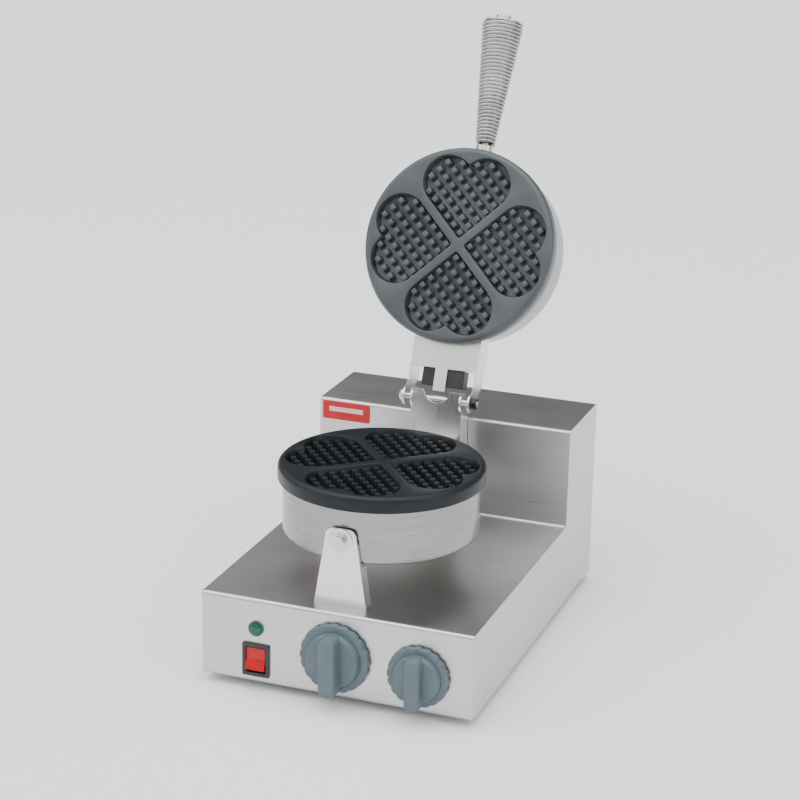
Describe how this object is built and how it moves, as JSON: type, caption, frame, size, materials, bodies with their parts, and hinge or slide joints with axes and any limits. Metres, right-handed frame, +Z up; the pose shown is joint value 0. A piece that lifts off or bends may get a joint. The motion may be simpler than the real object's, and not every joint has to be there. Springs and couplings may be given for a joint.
{
  "type": "waffle maker",
  "caption": "Counter-top electric heart waffle baker with a folded steel base, round cast plates and a lid that swings up and back.",
  "frame": {"origin": "on the surface the rubber feet stand on, under the middle of the whole machine with its lid open, which is 25 mm behind the middle of the base", "axes": "+X to the right seen from the front, +Y from the front panel to the back, +Z up"},
  "size_m": [0.25, 0.4547, 0.5369],
  "materials": {
    "brushed_steel": "fine brushed grain",
    "bracket_steel": "satin",
    "bright_steel": "bright",
    "dark_steel": "blackened",
    "grip_wire": "drawn wire",
    "coated_casting": "dark non-stick coating, satin",
    "heater_sheath": "oxidised",
    "insulation": "pressed fibre",
    "knob_plastic": "satin moulded",
    "black_plastic": "satin moulded",
    "red_lens": "translucent red",
    "green_lens": "translucent green",
    "lamp_plastic": "moulded",
    "control_plastic": "moulded",
    "label_red": "gloss enamel",
    "foot_rubber": "matt"
  },
  "bodies": {
    "base": {"housing_shell": "brushed_steel", "side_panel_left": "brushed_steel", "side_panel_right": "brushed_steel", "rear_cover": "brushed_steel", "rear_cover_screws": "bright_steel", "bottom_plate": "brushed_steel", "bottom_screws": "bright_steel", "rubber_feet": "foot_rubber", "foot_screws": "bright_steel", "foot_nuts": "bright_steel", "label_plate": "label_red", "cable_gland": "black_plastic", "gland_nut": "black_plastic", "terminal_block": "control_plastic", "front_bracket": "bracket_steel", "front_bracket_screws": "bright_steel", "front_bolt": "bright_steel", "front_washer": "bright_steel", "front_spacer": "bright_steel", "front_nut": "bright_steel", "lower_pan": "brushed_steel", "lower_plate": "coated_casting", "lower_heater": "heater_sheath", "lower_clamp": "heater_sheath", "lower_insulation": "insulation", "lower_plate_screws": "bright_steel", "thermostat_bulb": "heater_sheath", "hinge_post": "bracket_steel", "hinge_post_screws": "bright_steel", "pan_strap": "bracket_steel", "pan_strap_screws": "bright_steel", "hinge_pin": "bright_steel", "hinge_pin_nut": "dark_steel", "thermostat_body": "control_plastic", "thermostat_nut": "bright_steel", "timer_body": "control_plastic", "timer_nut": "bright_steel", "switch_housing": "black_plastic", "pilot_lens": "green_lens", "pilot_body": "lamp_plastic"},
    "lid": {"lid_bracket": "bracket_steel", "lead_box": "black_plastic", "upper_pan": "brushed_steel", "upper_plate": "coated_casting", "upper_heater": "heater_sheath", "upper_clamp": "heater_sheath", "upper_insulation": "insulation", "upper_plate_screws": "bright_steel", "handle_socket": "bright_steel", "handle_rod": "grip_wire", "handle_coil": "grip_wire", "handle_nut": "bright_steel"},
    "thermostat": {"thermostat_shaft": "bright_steel", "thermostat_knob": "knob_plastic"},
    "timer": {"timer_shaft": "bright_steel", "timer_knob": "knob_plastic"},
    "rocker": {"switch_rocker": "red_lens"}
  },
  "joints": [
    {"name": "lid_hinge", "type": "hinge", "parent": "base", "child": "lid", "pos_m": [0, 0.0485, 0.2005], "axis": [1, 0, 0], "range_deg": [0, 112]},
    {"name": "thermostat_turn", "type": "hinge", "parent": "base", "child": "thermostat", "pos_m": [0.001, -0.203, 0.0455], "axis": [0, 1, 0], "range_deg": [0, 270]},
    {"name": "timer_turn", "type": "hinge", "parent": "base", "child": "timer", "pos_m": [0.077, -0.203, 0.042], "axis": [0, 1, 0], "range_deg": [0, 300]},
    {"name": "rocker_tilt", "type": "hinge", "parent": "base", "child": "rocker", "pos_m": [-0.0735, -0.198, 0.0295], "axis": [1, 0, 0], "range_deg": [0, 18]}
  ]
}
